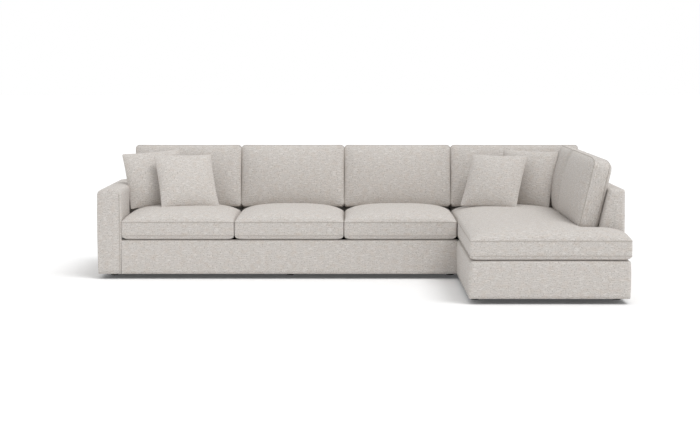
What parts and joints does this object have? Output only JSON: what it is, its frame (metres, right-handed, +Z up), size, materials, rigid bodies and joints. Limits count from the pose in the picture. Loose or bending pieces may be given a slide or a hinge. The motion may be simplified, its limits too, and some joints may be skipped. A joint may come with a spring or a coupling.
{
  "type": "sectional sofa with chaise",
  "caption": "Low sectional sofa in light woven cloth: seats with one track arm joined to a right-hand chaise with a return back, loose boxed cushions and pillows, short dark feet.",
  "frame": {"origin": "on the floor under the centre of the whole sofa's box", "axes": "+X along the back to the chaise side, which is the viewer's right; the seats face -Y; +Z up"},
  "size_m": [3.4544, 2.0984, 0.8823],
  "materials": {
    "upholstery_cloth": "light warm grey slub weave with pale and darker flecks",
    "cushion_cloth": "the same slub weave over foam, with top-stitched boxing seams",
    "pillow_cloth": "the same slub weave, knife-edged",
    "deck_cloth": "plain woven decking cloth",
    "dust_cloth": "black spun-bonded cloth",
    "frame_timber": "sawn kiln-dried hardwood",
    "foot_wood": "turned wood, black satin paint",
    "spring_steel": "bare drawn spring wire",
    "plate_steel": "zinc-plated sheet"
  },
  "bodies": {
    "sofa": {"sofa_foot_front_left": "foot_wood", "sofa_foot_front_middle": "foot_wood", "sofa_foot_front_right": "foot_wood", "sofa_foot_rear_left": "foot_wood", "sofa_foot_rear_middle": "foot_wood", "sofa_foot_rear_right": "foot_wood", "chaise_foot_front_left": "foot_wood", "chaise_foot_front_right": "foot_wood", "chaise_foot_middle_left": "foot_wood", "chaise_foot_middle_right": "foot_wood", "chaise_foot_rear_left": "foot_wood", "chaise_foot_rear_right": "foot_wood", "arm_cover": "upholstery_cloth", "arm_frame": "frame_timber", "sofa_front_border": "upholstery_cloth", "sofa_back_cover": "upholstery_cloth", "sofa_back_frame": "frame_timber", "sofa_front_rail": "frame_timber", "sofa_rear_rail": "frame_timber", "sofa_left_rail": "frame_timber", "sofa_right_rail": "frame_timber", "sofa_cross_board_1": "frame_timber", "sofa_cross_board_2": "frame_timber", "sofa_springs": "spring_steel", "sofa_deck": "deck_cloth", "sofa_dust_cloth": "dust_cloth", "chaise_front_border": "upholstery_cloth", "chaise_left_border": "upholstery_cloth", "chaise_right_border": "upholstery_cloth", "chaise_back_cover": "upholstery_cloth", "return_back_cover": "upholstery_cloth", "chaise_back_frame": "frame_timber", "return_back_frame": "frame_timber", "chaise_front_rail": "frame_timber", "chaise_rear_rail": "frame_timber", "chaise_left_rail": "frame_timber", "return_rail": "frame_timber", "open_end_rail": "frame_timber", "chaise_cross_board_1": "frame_timber", "chaise_cross_board_2": "frame_timber", "chaise_springs": "spring_steel", "chaise_deck": "deck_cloth", "chaise_dust_cloth": "dust_cloth", "tie_plate_front": "plate_steel", "tie_plate_rear": "plate_steel"},
    "seat_cushion_1": {"seat_cushion_1": "cushion_cloth"},
    "seat_cushion_2": {"seat_cushion_2": "cushion_cloth"},
    "seat_cushion_3": {"seat_cushion_3": "cushion_cloth"},
    "chaise_cushion": {"chaise_cushion": "cushion_cloth"},
    "back_cushion_1": {"back_cushion_1": "cushion_cloth"},
    "back_cushion_2": {"back_cushion_2": "cushion_cloth"},
    "back_cushion_3": {"back_cushion_3": "cushion_cloth"},
    "back_cushion_4": {"back_cushion_4": "cushion_cloth"},
    "return_cushion_rear": {"return_cushion_rear": "cushion_cloth"},
    "return_cushion_front": {"return_cushion_front": "cushion_cloth"},
    "left_pillow_rear": {"left_pillow_rear": "pillow_cloth"},
    "left_pillow_front": {"left_pillow_front": "pillow_cloth"},
    "right_pillow_rear": {"right_pillow_rear": "pillow_cloth"},
    "right_pillow_front": {"right_pillow_front": "pillow_cloth"}
  },
  "joints": [
    {"name": "seat_cushion_1_slide", "type": "slide", "parent": "sofa", "child": "seat_cushion_1", "axis": [0, -1, 0], "range_m": [0, 0.8]},
    {"name": "seat_cushion_2_slide", "type": "slide", "parent": "sofa", "child": "seat_cushion_2", "axis": [0, -1, 0], "range_m": [0, 0.8]},
    {"name": "seat_cushion_3_slide", "type": "slide", "parent": "sofa", "child": "seat_cushion_3", "axis": [0, -1, 0], "range_m": [0, 0.8]},
    {"name": "chaise_cushion_slide", "type": "slide", "parent": "sofa", "child": "chaise_cushion", "axis": [0, -1, 0], "range_m": [0, 1.92]},
    {"name": "back_cushion_1_slide", "type": "slide", "parent": "sofa", "child": "back_cushion_1", "axis": [0, 0.2164, 0.9763], "range_m": [0, 0.48]},
    {"name": "back_cushion_2_slide", "type": "slide", "parent": "sofa", "child": "back_cushion_2", "axis": [0, 0.2164, 0.9763], "range_m": [0, 0.48]},
    {"name": "back_cushion_3_slide", "type": "slide", "parent": "sofa", "child": "back_cushion_3", "axis": [0, 0.2164, 0.9763], "range_m": [0, 0.48]},
    {"name": "back_cushion_4_slide", "type": "slide", "parent": "sofa", "child": "back_cushion_4", "axis": [0, 0.2164, 0.9763], "range_m": [0, 0.48]},
    {"name": "return_cushion_rear_slide", "type": "slide", "parent": "sofa", "child": "return_cushion_rear", "axis": [0.2164, 0, 0.9763], "range_m": [0, 0.48]},
    {"name": "return_cushion_front_slide", "type": "slide", "parent": "sofa", "child": "return_cushion_front", "axis": [0.2164, 0, 0.9763], "range_m": [0, 0.48]},
    {"name": "left_pillow_rear_slide", "type": "slide", "parent": "seat_cushion_1", "child": "left_pillow_rear", "axis": [0, 0, 1], "range_m": [0, 0.42]},
    {"name": "left_pillow_front_slide", "type": "slide", "parent": "left_pillow_rear", "child": "left_pillow_front", "axis": [0, 0, 1], "range_m": [0, 0.42]},
    {"name": "right_pillow_rear_slide", "type": "slide", "parent": "chaise_cushion", "child": "right_pillow_rear", "axis": [0, 0, 1], "range_m": [0, 0.42]},
    {"name": "right_pillow_front_slide", "type": "slide", "parent": "right_pillow_rear", "child": "right_pillow_front", "axis": [0, 0, 1], "range_m": [0, 0.42]}
  ]
}
